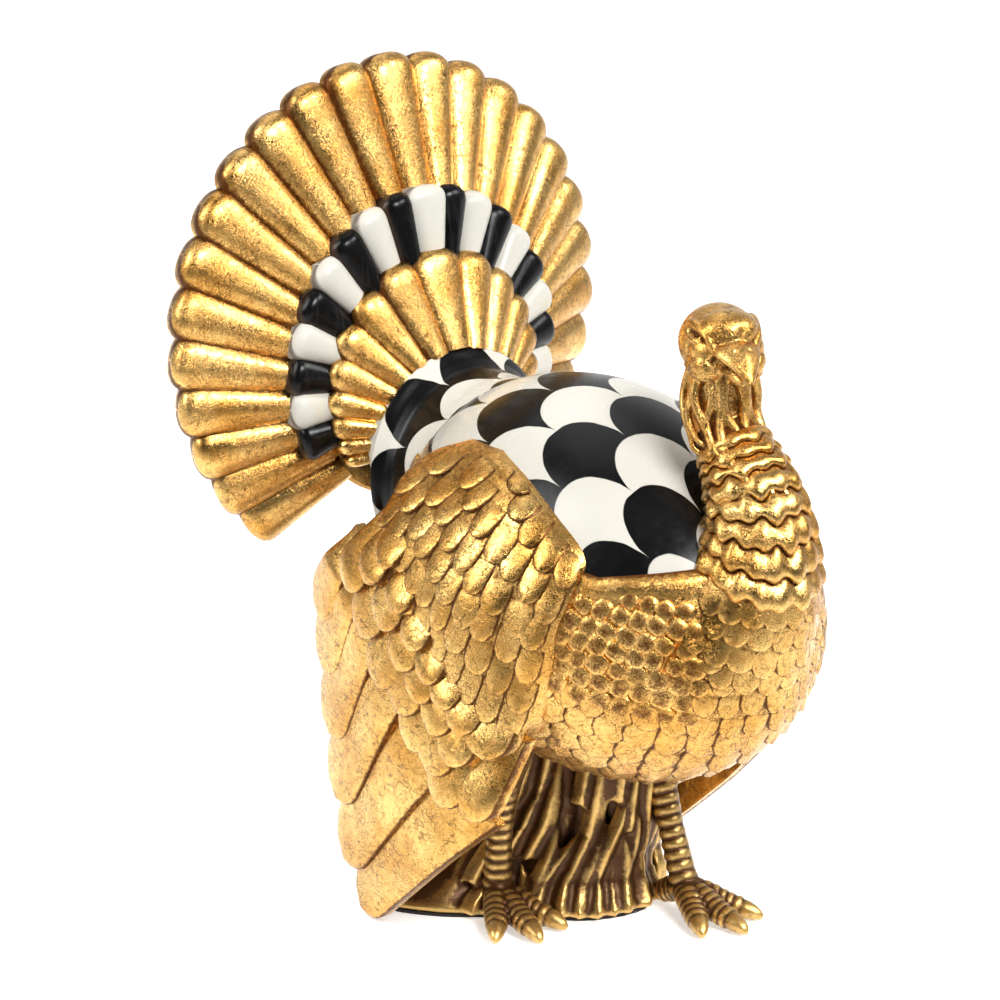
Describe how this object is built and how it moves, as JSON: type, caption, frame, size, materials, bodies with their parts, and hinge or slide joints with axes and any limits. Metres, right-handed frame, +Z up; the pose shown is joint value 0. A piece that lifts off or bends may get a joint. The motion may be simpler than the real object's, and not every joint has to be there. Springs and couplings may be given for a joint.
{
  "type": "thanksgiving turkey figure",
  "caption": "Free-standing strutting turkey figure with a fanned tail, drooped wings, a painted back and a gilded finish, standing on a grass clump; a table decoration.",
  "frame": {"origin": "on the table under the figure, on the felt of the base, in the bird's middle plane", "axes": "+Z up, -Y the way the bird faces, -X its right side"},
  "size_m": [0.2586, 0.3092, 0.4016],
  "materials": {
    "gold_leaf": "metal leaf over a red-brown ground on cast resin",
    "antique_bronze": "dark antique gold on cast resin",
    "painted_back": "hand-painted ivory and black, glossy varnish",
    "painted_tail": "white and black feathers, glossy varnish",
    "steel_rod": "plain drawn rod",
    "wood_dowel": "bare turned dowel",
    "resin_core": "rigid foamed resin",
    "felt": "glued felt"
  },
  "bodies": {
    "root": {"base_felt": "felt", "base_grass": "antique_bronze", "base_post": "steel_rod", "right_leg": "antique_bronze", "left_leg": "antique_bronze", "right_leg_rod": "steel_rod", "left_leg_rod": "steel_rod", "body_shell": "gold_leaf", "body_core": "resin_core", "back_panel": "painted_back", "neck_and_head": "gold_leaf", "neck_dowel": "wood_dowel", "right_wing": "gold_leaf", "left_wing": "gold_leaf", "right_wing_pin_front": "steel_rod", "right_wing_pin_rear": "steel_rod", "left_wing_pin_front": "steel_rod", "left_wing_pin_rear": "steel_rod", "tail_collar": "painted_back", "tail_inner_row": "gold_leaf", "tail_middle_row": "painted_tail", "tail_outer_row": "gold_leaf", "tail_dowel_right": "wood_dowel", "tail_dowel_left": "wood_dowel"}
  },
  "joints": []
}
